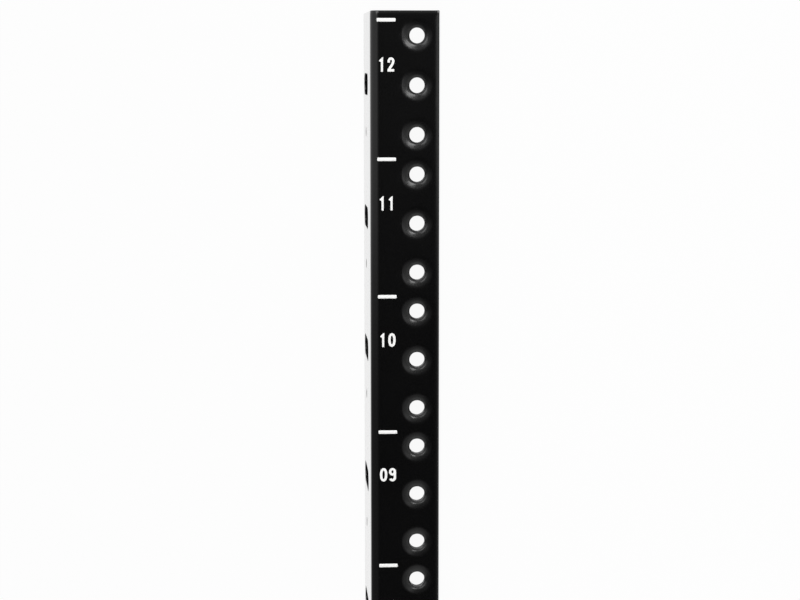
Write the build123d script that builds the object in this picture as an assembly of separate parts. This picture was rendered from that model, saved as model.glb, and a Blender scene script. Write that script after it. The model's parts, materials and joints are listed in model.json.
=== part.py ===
from build123d import *
import math
import os

# Rack mounting rail, twelve units tall. It is one piece of sheet steel, folded into an L.
# The short leg is the face that equipment is screwed to. The long leg is the flange that
# is bolted to the cabinet. The rail is drawn on a bench frame first: X runs along it
# towards unit 12, Y across the face from the fold, and Z from the face into the cabinet.

# Spacing of the rack, in millimetres like every size here
rack_unit = 44.45
units = 12
hole_spacing = 15.875
end_margin = 1.5875

# Folded sheet
sheet_thickness = 2.0
face_width = 22.2
flange_depth = 50.8
bend_inner_radius = 0.8
edge_radius = 0.25

# Extruded and tapped holes, three to a unit
hole_to_face_edge = 7.1
thread_minor_diameter = 5.0
mouth_diameter = 8.2
mouth_depth = 1.2
collar_diameter = 7.2
collar_height = 1.9

# Slot and small round hole in the flange, one of each to a unit
slot_width = 7.1
slot_length = 25.4
slot_to_flange_edge = 6.35
small_hole_diameter = 3.0

# The outsides of the collars and the small holes are repeated often and touch no other part,
# so they have this many flats in place of a circle.
flat_count = 10

length = units * rack_unit + 2 * end_margin
bend_outer_radius = bend_inner_radius + sheet_thickness
hole_line = face_width - hole_to_face_edge
slot_line = flange_depth - slot_to_flange_edge - slot_length / 2

# A unit's holes are centred in it, so the gap across a unit line is the shorter one
middle_hole_in_unit = rack_unit / 2
hole_offsets = [middle_hole_in_unit + step * hole_spacing for step in (-1, 0, 1)]


def along(unit, offset):
    """Place on the bench X axis of a point offset below the upper line of a unit, counted from 0."""
    return length / 2 - end_margin - unit * rack_unit - offset


def folded_sheet():
    """The L section, with the bend and the sheet's worn edges round, drawn out to the rail's length."""
    outline = FilletPolyline(
        (0, 0),
        (face_width, 0),
        (face_width, sheet_thickness),
        (sheet_thickness, sheet_thickness),
        (sheet_thickness, flange_depth),
        (0, flange_depth),
        radius=[
            bend_outer_radius,
            edge_radius,
            edge_radius,
            bend_inner_radius,
            edge_radius,
            edge_radius,
        ],
        close=True,
    )
    section = Plane.YZ * make_face(outline)
    return extrude(section, amount=length / 2, both=True)


def hole_cutter():
    """Tapped bore and the dished mouth that leads into it, turned about Z, with the face at Z = 0."""
    bore_radius = thread_minor_diameter / 2
    mouth_radius = mouth_diameter / 2
    bore_end = sheet_thickness + 2 * collar_height
    profile = Polyline(
        (0, -sheet_thickness),
        (mouth_radius, -sheet_thickness),
        (mouth_radius, 0),
        (bore_radius, mouth_depth),
        (bore_radius, bore_end),
        (0, bore_end),
        close=True,
    )
    return revolve(Plane.XZ * make_face(profile), Axis.Z)


def collar():
    """Metal drawn through behind the face, from the middle of the sheet to the collar's end."""
    outline = RegularPolygon(collar_diameter / 2, flat_count)
    return extrude(Pos(0, 0, sheet_thickness / 2) * outline, amount=collar_height + sheet_thickness / 2)


def tapped_holes(rail):
    """Three holes to a unit, each with its collar behind the face."""
    places = [
        Location((along(unit, offset), hole_line, 0))
        for unit in range(units)
        for offset in hole_offsets
    ]
    one_collar = collar()
    one_cutter = hole_cutter()
    rail = rail + [place * one_collar for place in places]
    return rail - [place * one_cutter for place in places]


def flange_cut_outs():
    """Slots that run with the flange's depth, level with the middle holes, and small holes level with the third."""
    through = 3 * sheet_thickness
    slot = SlotOverall(slot_length, slot_width, rotation=90)
    small_hole = RegularPolygon(small_hole_diameter / 2, flat_count)
    cuts = []
    for unit in range(units):
        for shape, offset in ((slot, hole_offsets[1]), (small_hole, hole_offsets[2])):
            centre = Location((along(unit, offset), 0, slot_line))
            flange = Plane(origin=centre.position, x_dir=(1, 0, 0), z_dir=(0, -1, 0))
            cuts.append(extrude(flange * shape, amount=through / 2, both=True))
    return cuts


def laid_down(rail):
    """The rail as it lies by itself: on its two long free edges, with the fold up and unit 12 towards +X."""
    lean = math.degrees(math.atan2(flange_depth - sheet_thickness, face_width - sheet_thickness))
    turned = Rot(180 + lean, 0, 0) * rail
    box = turned.bounding_box()
    return Pos(-box.center().X, -box.center().Y, -box.min.Z) * turned


rack_rail = tapped_holes(folded_sheet())
rack_rail = rack_rail - flange_cut_outs()
rack_rail = laid_down(rack_rail)

os.makedirs("parts", exist_ok=True)
export_step(rack_rail, "parts/rack_rail.step")
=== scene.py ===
import json
import math

import bmesh
import bpy
import numpy as np
from mathutils import Matrix, Vector


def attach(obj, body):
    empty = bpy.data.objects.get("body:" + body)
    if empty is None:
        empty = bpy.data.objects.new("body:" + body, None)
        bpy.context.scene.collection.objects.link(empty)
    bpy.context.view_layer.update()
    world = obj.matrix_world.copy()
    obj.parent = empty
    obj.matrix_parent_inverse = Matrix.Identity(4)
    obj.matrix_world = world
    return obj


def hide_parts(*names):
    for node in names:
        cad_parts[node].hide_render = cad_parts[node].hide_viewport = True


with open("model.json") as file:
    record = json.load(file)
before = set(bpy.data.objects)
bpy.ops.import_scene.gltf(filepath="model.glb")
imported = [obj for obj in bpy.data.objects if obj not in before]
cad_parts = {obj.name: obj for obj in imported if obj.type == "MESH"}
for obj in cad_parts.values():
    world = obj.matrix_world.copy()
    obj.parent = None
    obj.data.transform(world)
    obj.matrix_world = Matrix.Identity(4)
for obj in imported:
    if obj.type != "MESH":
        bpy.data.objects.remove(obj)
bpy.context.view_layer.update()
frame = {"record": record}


# The rail. The real one is 2 mm sheet steel. The flat blank is punched, its rack holes are drawn
# through into collars and tapped, and it is folded once into an L. Lengths here are in millimetres:
# x runs along the rail, q over the flat blank from the face's free edge, and h into the sheet.

rack_unit = 44.45
units = 12
end_margin = 1.5875
sheet = 2.0
face_width = 22.2
flange_depth = 50.8
bend_radius = 2.8
edge_radius = 0.25
length = units * rack_unit + 2 * end_margin

face_end = face_width - bend_radius
flange_start = face_end + bend_radius * math.pi / 2
blank_width = flange_start + flange_depth - bend_radius
flange_zero = blank_width - flange_depth

# Three tapped holes to a unit. Its slot and its small hole are level with the second and the third.
hole_places = np.array([6.35, 22.225, 38.1])
hole_q = 7.1
slot_q = flange_zero + 31.75
unit_tops = length / 2 - end_margin - rack_unit * np.arange(units)
hole_x = (unit_tops[:, None] - hole_places).ravel()
holes = len(hole_x)

# The blank is cut into cells round its holes, in a band of the face and in one of the flange
cell_ends = np.concatenate([[0.0], (hole_places[:-1] + hole_places[1:]) / 2, [rack_unit]])
cell_high = (unit_tops[:, None] - cell_ends[:-1]).ravel()
cell_low = (unit_tops[:, None] - cell_ends[1:]).ravel()
face_band = (2.05, 12.15)
flange_band = (flange_zero + 17.3, flange_zero + 46.2)
cell_steps = 10

mounts = {m["name"]: m for m in frame["record"]["mounts"]}
along_rail = np.array([1.0, 0.0, 0.0])
into_cabinet = -np.array(mounts["front_face"]["axis"])
across_face = -np.array(mounts["flange_outside"]["axis"])
fold_corner = (
    into_cabinet * (np.array(mounts["front_face"]["pos_m"]) @ into_cabinet)
    + across_face * (np.array(mounts["flange_outside"]["pos_m"]) @ across_face)
)


def placed(x, s, d):
    """Metres in the frame: from the fold's corner, x along the rail, s across the face, d deep."""
    steps = x[..., None] * along_rail + s[..., None] * across_face + d[..., None] * into_cabinet
    return fold_corner + 0.001 * steps


groove_radius = 3.0
draw_depth = 0.09
draw_reach = 5.7
draw_curve = 1.3
shear_reach = 2.0
skin_ease = 0.002


def drawn_in(x, q, h):
    """How far the front skin sinks at a point. All of it sinks by skin_ease, which keeps the bend
    within the solid's facets. Towards each tapped hole, where drawing the collar pulls the sheet in,
    it sinks from draw_reach on by the square of the way, is draw_depth down after draw_curve, and
    runs on straight from there. At the sheared edges it fades in squared. The back keeps still."""
    to_hole = np.hypot(np.abs(x[..., None] - hole_x).min(-1), q - hole_q)
    nearness = np.clip((draw_reach - np.maximum(to_hole, groove_radius)) / draw_curve, 0, None)
    by_hole = draw_depth * np.where(nearness < 1, nearness**2, 2 * nearness - 1)
    to_edge = np.minimum(np.minimum(q, blank_width - q), length / 2 - np.abs(x))
    by_edge = draw_depth * np.clip(1 - to_edge / shear_reach, 0, 1) ** 2
    return (by_hole + by_edge + skin_ease) * np.clip(1 - h / sheet, 0, 1)


def folded(x, q, h):
    """The blank folded: up to the bend a point stays flat, in it the point turns about the bend's
    centre by the arc it has passed, and beyond it the point runs on square to the face."""
    h = h + drawn_in(x, q, h)
    turn = np.clip((q - face_end) / bend_radius, 0, math.pi / 2)
    s = bend_radius - (bend_radius - h) * np.sin(turn) + np.clip(face_end - q, 0, None)
    d = bend_radius - (bend_radius - h) * np.cos(turn) + np.clip(q - flange_start, 0, None)
    return placed(x, s, d)


def stations(*runs):
    """Places along a line: each run is its end and its number of equal steps, from the last end."""
    places = [runs[0][:1]]
    for (start, *_), (end, steps) in zip(runs, runs[1:]):
        places.append(np.linspace(start, end, steps + 1)[1:])
    return np.concatenate(places)


# Where the section has its points, from the face's free edge to the flange's
section_q = stations(
    (edge_radius, 0),
    (face_band[0], 4),
    (face_band[1], cell_steps),
    (face_end, 4),
    (flange_start, 8),
    (flange_band[0], 5),
    (flange_band[1], cell_steps),
    (blank_width - edge_radius, 4),
)
quarter = np.linspace(0, math.pi / 2, 4)
skin = len(section_q)
back_start = skin + 2 * (len(quarter) - 1)


def section(inset):
    """The sheet's section once round, drawn in by inset: front skin, quarter turns round the flange's
    free edge, back skin, and quarter turns round the face's free edge."""
    inset = inset[:, None]
    radius = edge_radius - inset
    out, back = quarter[1:], quarter[:-1]
    near, far = edge_radius, sheet - edge_radius
    low, high = edge_radius, blank_width - edge_radius
    flat = np.broadcast_to(section_q, (len(inset), skin))
    q = [
        flat,
        high + radius * np.sin(out),
        high + radius * np.cos(back),
        flat[:, ::-1],
        low - radius * np.sin(out),
        low - radius * np.cos(back),
    ]
    h = [
        inset + 0 * flat,
        near - radius * np.cos(out),
        far + radius * np.sin(back),
        sheet - inset + 0 * flat,
        far + radius * np.cos(out),
        near - radius * np.sin(back),
    ]
    return np.concatenate(q, 1), np.concatenate(h, 1)


def quads(corners):
    """Four-sided faces between neighbours of a grid of vertex numbers."""
    return np.stack(
        [corners[:-1, :-1], corners[:-1, 1:], corners[1:, 1:], corners[1:, :-1]], -1
    )


# The blank is its section carried along the rail, smaller in its rounded ends
end_x = length / 2 - edge_radius * (1 - np.sin(quarter[::-1]))
margin_x = np.linspace(length / 2 - edge_radius, unit_tops[0], 3)[1:-1]
cells_x = np.linspace(cell_high, cell_low, cell_steps, endpoint=False, axis=1).ravel()
half_x = np.concatenate([end_x, margin_x])
rail_x = np.concatenate([half_x, cells_x, [cell_low[-1]], -half_x[::-1]])
end_inset = np.concatenate([edge_radius * (1 - np.cos(quarter[::-1])), 0 * margin_x])
rail_inset = np.concatenate([end_inset, np.zeros(len(cells_x) + 1), end_inset[::-1]])

q, h = section(rail_inset)
x = np.broadcast_to(rail_x[:, None], q.shape)
points = [folded(x, q, h).reshape(-1, 3)]
numbers = np.arange(q.size).reshape(q.shape)
tube = quads(np.concatenate([numbers, numbers[:, :1]], 1))

# Windows are left in it for the cells: one for each tapped hole, slot and small hole
cell_of = np.full(len(tube), -1)
cell_of[len(half_x) : len(half_x) + len(cells_x)] = np.arange(len(cells_x)) // cell_steps
middle_q = (q[0, :] + np.roll(q[0, :], -1)) / 2
on_skin = np.zeros(q.shape[1], bool)
on_skin[: skin - 1] = True
on_skin[back_start : back_start + skin - 1] = True
in_face_band = on_skin & (middle_q > face_band[0]) & (middle_q < face_band[1])
in_flange_band = on_skin & (middle_q > flange_band[0]) & (middle_q < flange_band[1])
window = (cell_of >= 0)[:, None] & in_face_band
window |= ((cell_of >= 0) & (cell_of % 3 > 0))[:, None] & in_flange_band
faces = [tube[~window]]
back_numbers = numbers[:, back_start : back_start + skin][:, ::-1]
for row in (0, -1):
    faces.append(quads(np.stack([numbers[row, :skin], back_numbers[row]])).reshape(-1, 4))

loop_turn = np.linspace(-0.75 * math.pi, 1.25 * math.pi, 4 * cell_steps + 1)


def round_loop(radius):
    """Once round a circle, for each radius."""
    return radius[:, None] * np.cos(loop_turn), radius[:, None] * np.sin(loop_turn)


def slot_loop(radius, straight):
    """Once round a slot that runs in q, for each radius: half a circle, a straight side, and the same
    again."""
    turn = np.linspace(math.pi, 2 * math.pi, cell_steps + 1)[:-1]
    side = np.broadcast_to(radius[:, None], (len(radius), cell_steps))
    run = 0 * side + np.linspace(-straight / 2, straight / 2, cell_steps + 1)[:-1]
    across, end = side * np.cos(turn), side * np.sin(turn) - straight / 2
    u = [across, side, -across, -side, across[:, :1]]
    v = [end, run, -end, -run, end[:, :1]]
    return np.concatenate(u, 1), np.concatenate(v, 1)


def border_loop(low, high, q_low, q_high):
    """Once round each cell from its low corner, in equal steps, as many to each side."""
    step = np.linspace(0, 1, cell_steps + 1)[:-1]
    one, nil = np.ones(cell_steps), np.zeros(cell_steps)
    u = np.concatenate([step, one, 1 - step, nil, nil[:1]])
    v = np.concatenate([nil, step, one, 1 - step, nil[:1]])
    u = low + (high - low) * u
    return u, np.broadcast_to(q_low + (q_high - q_low) * v, u.shape)


def with_borders(rings, border, front_shares, rear_shares):
    """The rings of every cell, and before and after them rings that are those shares of the way from
    the first and the last of them to the border."""
    ahead, behind = np.array(front_shares)[:, None], np.array(rear_shares)[:, None]
    before = rings[:, :1] * (1 - ahead) + border * ahead
    after = rings[:, -1:] * (1 - behind) + border * behind
    return np.concatenate([before, rings, after], 1)


def cut_cells(which, band, line_q, loops, depths, front_shares, rear_shares):
    """Fills the windows of those cells. Each is a grid of rings by steps round: on the front from the
    border in to the hole, down the hole's own loops, and on the back out to the border again."""
    middle_x = hole_x[which][:, None, None]
    shape = (len(middle_x), *loops[0].shape)
    u, v, h = (np.broadcast_to(part, shape) for part in (*loops, depths))
    low, high = cell_low[which][:, None, None], cell_high[which][:, None, None]
    border_u, border_v = border_loop(
        low - middle_x, high - middle_x, band[0] - line_q, band[1] - line_q
    )
    u = with_borders(u, border_u, front_shares, rear_shares)
    v = with_borders(v, border_v, front_shares, rear_shares)
    h = np.concatenate([h[:, [0] * len(front_shares)], h, h[:, [-1] * len(rear_shares)]], 1)
    start = sum(len(p) for p in points)
    points.append(folded(u + middle_x, v + line_q, h).reshape(-1, 3))
    for cell in start + np.arange(h.size).reshape(h.shape):
        faces.append(quads(cell).reshape(-1, 4))


# Tapped holes. The mouth rolls in from the face, deeper with the fourth power of the way.
mouth_radius = 4.5
mouth_roll = 0.019
mouth_land = 4.8
mouth_r = np.linspace(mouth_radius, groove_radius, 8)
mouth_h = mouth_roll * (mouth_radius - mouth_r) ** 4

# The M6 thread is a helix of crest and groove rows. It is led in by a cone and runs out in another.
core_radius = 2.5
pitch = 1.0
lead_in = 1.2
run_out = 1.2
collar_height = 1.9
rim_edge = 0.05
thread_form = np.array([0.0, 0.25, 0.5625, 0.6875])
thread_radii = np.array([core_radius, core_radius, groove_radius, groove_radius])
thread_start = mouth_h[-1]
thread_end = sheet + collar_height - rim_edge
thread_rows = np.arange(1, 4 * math.ceil((thread_end - thread_start) / pitch + 1) + 1)
row_phase = thread_rows // 4 + thread_form[thread_rows % 4]
turned = (loop_turn - loop_turn[0]) / (2 * math.pi)
thread_h = thread_start + pitch * (row_phase[:, None] - turned)
thread_h = np.clip(thread_h, thread_start, thread_end)
thread_r = np.maximum.reduce(
    [
        np.broadcast_to(thread_radii[thread_rows % 4][:, None], thread_h.shape),
        groove_radius - (thread_h - thread_start) / lead_in,
        groove_radius - (thread_end - thread_h) * run_out,
    ]
)

# The collar's rim, its side, and the fillet at its foot that runs out on the back of the sheet
collar_r = np.array([3.12, 3.34, 3.50, 3.56, 3.64, 3.74, 4.00, 4.50, 4.65])
collar_h = np.array([3.90, 3.90, 3.80, 3.60, 2.75, 2.32, 2.07, 2.00, 2.00])

ring_r = np.concatenate([[mouth_land], mouth_r])[:, None] + 0 * loop_turn
ring_h = np.concatenate([[0], mouth_h])[:, None] + 0 * loop_turn
bore_r = np.concatenate([ring_r, thread_r, collar_r[:, None] + 0 * loop_turn])
bore_h = np.concatenate([ring_h, thread_h, collar_h[:, None] + 0 * loop_turn])

# The rim was torn open, not cut, so it waves a little, differently at each hole
rim_wave = 0.03
wave_start = 3.5
wave_rise = 0.4
wave = np.sin(3 * loop_turn + 1.7 * np.arange(holes)[:, None])
wave = wave + np.sin(5 * loop_turn + 2.9 * np.arange(holes)[:, None])
near_rim = np.clip(bore_h - wave_start, 0, wave_rise) / wave_rise
bore_h = bore_h - rim_wave * (wave[:, None, :] + 2) * near_rim

cut_cells(
    slice(None),
    face_band,
    hole_q,
    (bore_r * np.cos(loop_turn), bore_r * np.sin(loop_turn)),
    bore_h,
    [1.0, 0.62, 0.33, 0.13],
    [0.3, 1.0],
)

# Punched slots and small holes in the flange: a rolled edge outside, and a sharper one inside
slot_radius = 3.55
slot_straight = 18.3
small_radius = 1.5
punched_out = np.array([0.46, 0.34, 0.12, 0.03, 0.0, 0.0, 0.05, 0.22, 0.34])
punched_h = np.array([0.0, 0.0, 0.02, 0.10, 0.32, 1.80, 1.95, 2.0, 2.0])
for third, loops in (
    (1, slot_loop(slot_radius + punched_out, slot_straight)),
    (2, round_loop(small_radius + punched_out)),
):
    cut_cells(
        slice(third, None, 3),
        flange_band,
        slot_q,
        loops,
        punched_h[:, None],
        [1.0, 0.4],
        [0.4, 1.0],
    )

doubles_apart = 2e-6
no_length = 1e-7
sharp_from = math.radians(38)


def new_piece(name, points, faces):
    """A closed piece from its four-sided faces and the points that they use: doubles are merged, and
    then the faces are turned outwards."""
    used, corners = np.unique(faces, return_inverse=True)
    mesh = bpy.data.meshes.new(name)
    mesh.from_pydata(points[used].tolist(), [], corners.reshape(-1, 4).tolist())
    work = bmesh.new()
    work.from_mesh(mesh)
    bmesh.ops.remove_doubles(work, verts=work.verts, dist=doubles_apart)
    bmesh.ops.dissolve_degenerate(work, edges=work.edges, dist=no_length)
    bmesh.ops.recalc_face_normals(work, faces=work.faces)
    work.to_mesh(mesh)
    work.free()
    mesh.shade_smooth()
    mesh.set_sharp_from_angle(angle=sharp_from)
    piece = bpy.data.objects.new(name, mesh)
    bpy.context.scene.collection.objects.link(piece)
    return piece


rail = new_piece("rack_rail_pressing", np.concatenate(points), np.concatenate(faces))

# What the coat reads at each point: in_bore is 1 in the thread and 0 on the skins, and at_mouth is 1
# where the sheet rolls in round a hole
spots = np.empty(len(rail.data.vertices) * 3, np.float32)
rail.data.vertices.foreach_get("co", spots)
spots = (spots.reshape(-1, 3) - fold_corner) * 1000
to_axis = np.hypot(
    np.abs((spots @ along_rail)[:, None] - hole_x).min(-1),
    spots @ across_face - (face_width - hole_q),
)
depth = spots @ into_cabinet
in_bore = np.interp(to_axis, [3.05, 3.35], [1, 0]) * np.interp(depth, [0.3, 0.6], [0, 1])
at_mouth = np.interp(to_axis, [4.2, 5.4], [1, 0]) * np.interp(depth, [1.0, 2.0], [1, 0])
for name, share in (("in_bore", in_bore), ("at_mouth", at_mouth)):
    values = rail.data.attributes.new(name, "FLOAT", "POINT").data
    values.foreach_set("value", share.astype(np.float32))


class Reading:
    """One output of a shader node. Sums, differences and products on it add Math nodes."""

    def __init__(self, finish, output):
        self.finish = finish
        self.output = output

    def maths(self, operation, *values):
        """A Math node of that operation on the values, in their order."""
        sockets = dict(enumerate(values))
        return self.finish.node("ShaderNodeMath", {"operation": operation}, sockets)[0]

    def __add__(self, other):
        return self.maths("ADD", self, other)

    def __radd__(self, other):
        return self.maths("ADD", other, self)

    def __sub__(self, other):
        return self.maths("SUBTRACT", self, other)

    def __rsub__(self, other):
        return self.maths("SUBTRACT", other, self)

    def __mul__(self, other):
        return self.maths("MULTIPLY", self, other)

    def __rmul__(self, other):
        return self.maths("MULTIPLY", other, self)

    def larger(self, other):
        """The larger of the two."""
        return self.maths("MAXIMUM", self, other)

    def between(self, low, high):
        """0 below low, 1 above high, and a smooth step from one to the other."""
        settings = {"interpolation_type": "SMOOTHSTEP"}
        sockets = {"Value": self, "From Min": low, "From Max": high}
        return self.finish.node("ShaderNodeMapRange", settings, sockets)["Result"]


class Finish:
    """The node tree of a material or of the world, cleared and built up with node()."""

    def __init__(self, owner):
        owner.use_nodes = True
        self.tree = owner.node_tree
        self.tree.nodes.clear()

    def node(self, kind, settings, sockets):
        """Any node: its settings are set first, then its sockets take values or links."""
        made = self.tree.nodes.new(kind)
        for name, value in settings.items():
            setattr(made, name, value)
        for name, value in sockets.items():
            if isinstance(value, Reading):
                self.tree.links.new(value.output, made.inputs[name])
            else:
                made.inputs[name].default_value = value
        return Outputs(self, made)

    def noise(self, where, size, detail=2.0, roughness=0.5):
        """Noise from 0 to 1 whose patches are about size metres across."""
        sockets = {"Vector": where, "Scale": 1 / size, "Detail": detail, "Roughness": roughness}
        return self.node("ShaderNodeTexNoise", {}, sockets)["Fac"]

    def mixed(self, share, first, second):
        """The first colour, going over to the second with share."""
        sockets = {0: share, 6: first, 7: second}
        return self.node("ShaderNodeMix", {"data_type": "RGBA"}, sockets)[2]


class Outputs:
    """A node's outputs, by name or number, each as a Reading."""

    def __init__(self, finish, made):
        self.finish = finish
        self.made = made

    def __getitem__(self, name):
        return Reading(self.finish, self.made.outputs[name])


# Black powder coat, baked on after the fold. The pigmented film has a fine orange peel, and a clear
# skin of its binder lies over it. Light is turned back at both, little of it face on and most of it
# near edge on. In the bores and round the mouths, where the powder lies thin, the coat is duller.
film_black = (0.0024, 0.0024, 0.0025, 1)
film_cloud = (0.0036, 0.0036, 0.0037, 1)
thin_grey = (0.007, 0.007, 0.007, 1)

powder_coat = bpy.data.materials.new("black_powder_coat")
coat = Finish(powder_coat)
where = coat.node("ShaderNodeTexCoord", {}, {})["Object"]
bore = coat.node("ShaderNodeAttribute", {"attribute_name": "in_bore"}, {})["Fac"]
mouth = coat.node("ShaderNodeAttribute", {"attribute_name": "at_mouth"}, {})["Fac"]
peel = coat.noise(where, 0.0016, 1.5)
grain = coat.noise(where, 0.00028, 2.0)
cloud = coat.noise(where, 0.022, 3.0, 0.6)
speck = coat.noise(where, 0.0007, 1.0).between(0.70, 0.78)
relief = peel * 0.8 + grain * 0.2
bump = coat.node("ShaderNodeBump", {}, {"Strength": 0.22, "Distance": 0.00006, "Height": relief})
film = coat.mixed(cloud, film_black, film_cloud)
film = coat.mixed(speck * 0.5, film, thin_grey)
film = coat.mixed(bore * 0.5, film, thin_grey)
surface = coat.node(
    "ShaderNodeBsdfPrincipled",
    {},
    {
        "Base Color": film,
        "Roughness": 0.07 + cloud * 0.04 + mouth * 0.15 + bore * 0.15,
        "IOR": 1.36,
        "Coat Weight": 0.65,
        "Coat Roughness": 0.14,
        "Coat IOR": 1.36,
        "Normal": bump["Normal"],
    },
)
coat.node("ShaderNodeOutputMaterial", {}, {"Surface": surface["BSDF"]})
rail.data.materials.append(powder_coat)
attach(rail, "root")
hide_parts("rack_rail")


# The unit lines and numbers. They are screen printed in white ink on the coated face, left of the
# holes: a line just below the top of each unit, and its number, from 12 down to 01, under it.

ink_high = 0.022
ink_low = -0.012
ink_slope = 0.05
stroke_lift = 0.002
print_from_fold = 5.085
print_drift = 0.0030
line_below_unit = 1.42
number_below_line = 14.15
stroke_width = 0.83
broad_stroke = 0.86
digit_step = 2.9
digit_height = 4.6

ink_points, ink_faces = [], []


def ink_stroke(left, right, across, down, closed=False, lift=0.0):
    """A film of ink between two edges, each a line of (right, up) places in a digit: its section is a
    low trapezium, carried from place to place on the sunk skin, and lifted over the strokes that it
    crosses. Across and down give the digit's middle foot."""
    inward = (right - left) / np.linalg.norm(right - left, axis=1, keepdims=True) * ink_slope
    edges = np.stack([left, left + inward, right - inward, right], 1)
    heights = np.array([ink_low, ink_high, ink_high, ink_low]) + lift
    x = unit_tops[0] - (down - edges[..., 1])
    s = across + print_drift * down + edges[..., 0]
    d = drawn_in(x, face_width - s, 0 * x) - heights
    start = sum(len(p) for p in ink_points)
    ink_points.append(placed(x, s, d).reshape(-1, 3))
    grid = start + np.arange(x.size).reshape(x.shape)
    if closed:
        grid = np.concatenate([grid, grid[:1]])
    else:
        ink_faces.append(grid[[0, -1]])
    ink_faces.append(quads(np.concatenate([grid, grid[:, :1]], 1)).reshape(-1, 4))


def add_ink(name):
    """The strokes so far, as one piece."""
    piece = new_piece(name, np.concatenate(ink_points), np.concatenate(ink_faces))
    ink_points.clear()
    ink_faces.clear()
    return piece


unit_line = np.array([(-3.02, -0.4), (-2.85, -0.58), (2.85, -0.58), (3.02, -0.4)])
for place in range(units):
    below = place * rack_unit + line_below_unit
    ink_stroke(unit_line, unit_line * (1, -1), print_from_fold, below)
unit_lines = add_ink("printed_unit_lines")


def pen(line, closed=False, width=stroke_width):
    """Both edges of a stroke: its middle line, moved half a width to each side of its direction."""
    line = np.array(line, float)
    if closed:
        ahead = np.roll(line, -1, 0) - np.roll(line, 1, 0)
    else:
        ahead = np.gradient(line, axis=0)
    ahead /= np.linalg.norm(ahead, axis=1, keepdims=True)
    side = np.stack([-ahead[:, 1], ahead[:, 0]], 1) * width / 2
    return line + side, line - side, closed


def arc(centre, radii, start, end, steps=14, square=2.0):
    """Places on an oval from one angle to another, in degrees; square above 2 fills its corners."""
    turn = np.radians(np.linspace(start, end, steps + 1))
    u, v = np.cos(turn), np.sin(turn)
    u = np.sign(u) * np.abs(u) ** (2 / square)
    v = np.sign(v) * np.abs(v) ** (2 / square)
    return np.stack([centre[0] + radii[0] * u, centre[1] + radii[1] * v], 1)


def joined(*lines):
    """One line through all of these."""
    return np.concatenate([np.array(line, float) for line in lines])


# Each digit as its strokes. A six is a nine turned half round.
top = digit_height - stroke_width / 2
foot = stroke_width / 2
bowl = 0.79
upright = np.array([(0.0, 0.0), (0.0, 3.02), (0.0, 3.36), (0.0, 3.50), (0.24, digit_height)])
nine = [
    pen(arc((0, 3.26), (bowl - 0.03, 0.87), 0, 360, 28)[:-1], True),
    pen(joined([(bowl, 3.2), (bowl, 2.2)], arc((0, 1.42), (bowl, 0.95), 0, -152))),
]
digits = {
    0: [pen(arc((0, 2.3), (0.81, 1.83), 0, 360, 32, 2.25)[:-1], True)],
    1: [
        (
            upright + [(-0.30, 0), (-0.30, 0), (-0.92, 0), (-0.92, 0), (-0.12, 0)],
            upright + [(0.41, 0), (0.41, 0), (0.41, 0), (0.41, 0), (0.21, 0)],
            False,
        )
    ],
    2: [
        pen(
            joined(
                [(-0.66, 2.88)],
                arc((0.05, 3.32), (0.72, 0.82), 180, 0),
                [(0.68, 2.75), (0.40, 2.2), (-0.10, 1.45), (-0.50, 0.80), (-0.62, 0.45)],
            )
        ),
        pen([(-1.08, foot), (1.06, foot)]),
    ],
    3: [
        pen(arc((0, 3.32), (0.74, 0.81), 172, -82, 16)),
        pen(arc((0, 1.45), (0.80, 0.98), 84, -172, 16)),
    ],
    4: [
        pen([(0.42, 0), (0.42, digit_height)]),
        pen([(-1.25, 1.35), (1.25, 1.35)], width=broad_stroke),
        pen([(-0.86, 1.45), (0.22, 4.35)], width=broad_stroke),
    ],
    5: [
        pen([(-1.05, top), (1.12, top)]),
        pen([(-0.66, 4.3), (-0.74, 2.3)], width=broad_stroke),
        pen(joined([(-0.70, 2.40)], arc((0, 1.60), (0.80, 1.13), 128, -156, 18))),
    ],
    6: [((0, digit_height) - a, (0, digit_height) - b, closed) for a, b, closed in nine],
    7: [
        pen([(-1.20, top), (1.22, top)]),
        pen([(0.80, 3.9), (0.42, 2.9), (0.02, 1.6), (-0.24, 0)]),
    ],
    8: [
        pen(arc((0, 3.36), (0.72, 0.77), 0, 360, 28)[:-1], True),
        pen(arc((0, 1.44), (0.80, 0.97), 0, 360, 28)[:-1], True),
    ],
    9: nine,
}

for place in range(units):
    below = place * rack_unit + line_below_unit + number_below_line + digit_height / 2
    for step, digit in ((-0.5, (units - place) // 10), (0.5, (units - place) % 10)):
        across = print_from_fold + step * digit_step
        for rank, (left, right, closed) in enumerate(digits[digit]):
            ink_stroke(left, right, across, below, closed, rank * stroke_lift)
unit_numbers = add_ink("printed_unit_numbers")

# Screen ink: matt white, a little thinner in places so that the black shows through as grey
ink_white = (0.94, 0.94, 0.93, 1)
thin_ink = (0.60, 0.60, 0.60, 1)

screen_ink = bpy.data.materials.new("white_screen_ink")
ink = Finish(screen_ink)
where = ink.node("ShaderNodeTexCoord", {}, {})["Object"]
thin = ink.noise(where, 0.0006, 2.0).between(0.60, 0.85)
mesh_marks = ink.noise(where, 0.00018, 1.0)
bump = ink.node("ShaderNodeBump", {}, {"Strength": 0.2, "Distance": 0.00002, "Height": mesh_marks})
surface = ink.node(
    "ShaderNodeBsdfPrincipled",
    {},
    {
        "Base Color": ink.mixed(thin * 0.35, ink_white, thin_ink),
        "Roughness": 0.5 + mesh_marks * 0.15,
        "IOR": 1.48,
        "Normal": bump["Normal"],
    },
)
ink.node("ShaderNodeOutputMaterial", {}, {"Surface": surface["BSDF"]})
for piece in (unit_lines, unit_numbers):
    piece.data.materials.append(screen_ink)
    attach(piece, "root")


# The studio. The rail lies on a white table top. One soft box hangs over its unit 12 end, a low wide
# one stands in front of that end, and one stands past it. The room behind the camera is dim.

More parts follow.
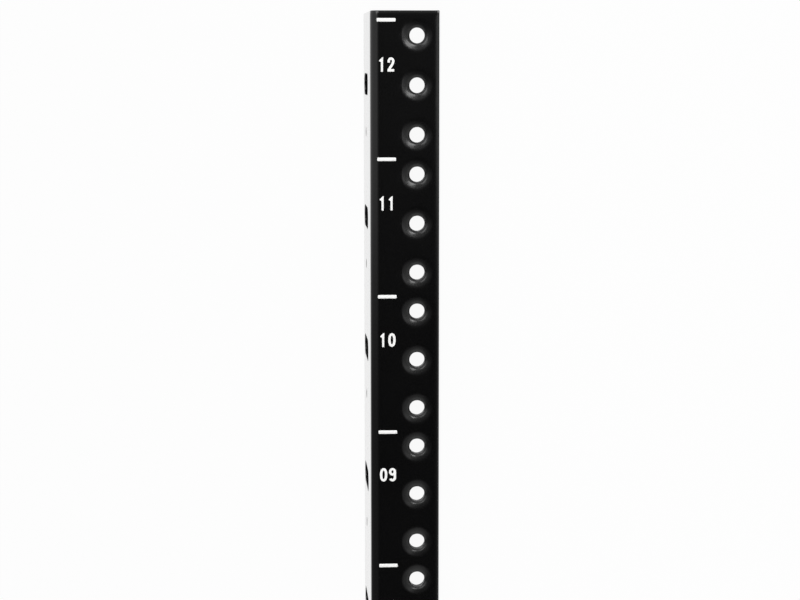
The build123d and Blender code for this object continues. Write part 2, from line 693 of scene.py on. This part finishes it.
floor_half = 7.0
floor_mesh = bpy.data.meshes.new("table_top")
floor_mesh.from_pydata(
    [(-floor_half, -floor_half, 0), (floor_half, -floor_half, 0)]
    + [(floor_half, floor_half, 0), (-floor_half, floor_half, 0)],
    [],
    [(0, 1, 2, 3)],
)
floor = bpy.data.objects.new("table_top", floor_mesh)
bpy.context.scene.collection.objects.link(floor)

# The table shows as even white and keeps a part of its own light and shadow. What the coat reflects
# of it is half as bright before the rail. From underneath it is clear.
white = (1, 1, 1, 1)
table_grey = (0.86, 0.86, 0.86, 1)
even_white = 0.94
before_rail = 0.50

white_table = bpy.data.materials.new("white_table")
table = Finish(white_table)
rays = table.node("ShaderNodeLightPath", {}, {})
spot = table.node("ShaderNodeTexCoord", {}, {})["Object"]
before = 1 - table.node("ShaderNodeSeparateXYZ", {}, {"Vector": spot})["Y"].between(-0.25, 0.05)
seen = rays["Is Camera Ray"].larger(rays["Is Glossy Ray"]).larger(rays["Is Transmission Ray"])
lit = table.node("ShaderNodeBsdfDiffuse", {}, {"Color": table_grey})["BSDF"]
glow = table.node("ShaderNodeEmission", {}, {"Color": white, "Strength": 1.0})["Emission"]
dim = table.node("ShaderNodeEmission", {}, {"Color": white, "Strength": before_rail})["Emission"]
clear = table.node("ShaderNodeBsdfTransparent", {}, {})["BSDF"]
under = table.node("ShaderNodeNewGeometry", {}, {})["Backfacing"]


def shaders_mixed(share, first, second):
    """The table's first shader, going over to the second with share."""
    return table.node("ShaderNodeMixShader", {}, {0: share, 1: first, 2: second})["Shader"]


glow = shaders_mixed(rays["Is Glossy Ray"] * before, glow, dim)
top_side = shaders_mixed(seen * even_white, lit, glow)
both_sides = shaders_mixed(under, top_side, clear)
table.node("ShaderNodeOutputMaterial", {}, {"Surface": both_sides})
floor_mesh.materials.append(white_table)

world = bpy.data.worlds.new("studio_room")
bpy.context.scene.world = world
room = Finish(world)
rays = room.node("ShaderNodeLightPath", {}, {})
direction = room.node("ShaderNodeTexCoord", {}, {})["Generated"]


def part_of(axis):
    """How far the direction points along an axis, from -1 to 1."""
    sockets = {0: direction, 1: axis.tolist()}
    return room.node("ShaderNodeVectorMath", {"operation": "DOT_PRODUCT"}, sockets)["Value"]


# The room's light, by direction: a wall on the fold's side that fades towards unit 01, an even one on
# the other, both ends brighter, white beyond the rail, and a small pale patch behind the camera
to_unit_12 = part_of(along_rail)
fold_side = part_of(-across_face).between(0.04, 0.55)
free_side = part_of(across_face).between(0.12, 0.34)
beyond = part_of(into_cabinet).between(0.45, 0.95)
fading = 0.82 * to_unit_12.between(-0.17, 0.0) + 0.18 * to_unit_12.between(-0.45, -0.25)
level = 0.005 + fading * (0.05 + 0.70 * fold_side) + 0.40 * free_side
level = level + 0.35 * to_unit_12.between(0.04, 0.35)
level = level + 0.9 * (1 - to_unit_12.between(-0.62, -0.30))
level = level.larger(beyond)
patch = part_of(0.24 * across_face - 0.97 * into_cabinet)
level = level + 0.9 * patch.between(math.cos(0.12), math.cos(0.03))
seen = rays["Is Camera Ray"]
strength = seen + (1 - seen) * level
light = room.node("ShaderNodeBackground", {}, {"Color": white, "Strength": strength})
room.node("ShaderNodeOutputWorld", {}, {"Surface": light["Background"]})


def soft_box(name, place, aim, size, radiance):
    """An oblong lamp that glows evenly at that radiance, from place towards aim."""
    lamp = bpy.data.lights.new(name, "AREA")
    lamp.shape = "RECTANGLE"
    lamp.size, lamp.size_y = size
    lamp.energy = radiance * math.pi * size[0] * size[1]
    box = bpy.data.objects.new(name, lamp)
    bpy.context.scene.collection.objects.link(box)
    box.location = place
    box.rotation_euler = (Vector(aim) - Vector(place)).to_track_quat("-Z", "Y").to_euler()


soft_box("overhead_soft_box", (0.76, -1.02, 1.06), (0.17, 0.0, 0.0), (0.60, 0.80), 2.7)
soft_box("front_soft_box", (0.84, -1.55, 0.16), (0.17, 0.0, 0.02), (0.80, 0.30), 7.5)
soft_box("end_soft_box", (1.45, -0.69, 0.36), (0.17, 0.0, 0.0), (0.6, 0.9), 2.6)

# The camera looks almost square at the face, level with unit 12, with the rail's length upright
eye = placed(np.array(unit_tops[0] - 13.17), np.array(-30.60), np.array(-673.17))
look = 0.059040 * across_face + 0.991580 * into_cabinet - 0.115252 * along_rail
up = 0.007388 * across_face + 0.115016 * into_cabinet + 0.993336 * along_rail
axes = Matrix([np.cross(look, up).tolist(), up.tolist(), (-look).tolist()]).transposed().to_4x4()
lens = bpy.data.cameras.new("camera")
lens.sensor_width = 36.0
lens.lens = 94.304
lens.clip_start = 0.05
lens.clip_end = 50.0
camera = bpy.data.objects.new("camera", lens)
bpy.context.scene.collection.objects.link(camera)
camera.matrix_world = Matrix.Translation(Vector(eye)) @ axes
bpy.context.scene.camera = camera
bpy.context.scene.view_settings.view_transform = "Standard"
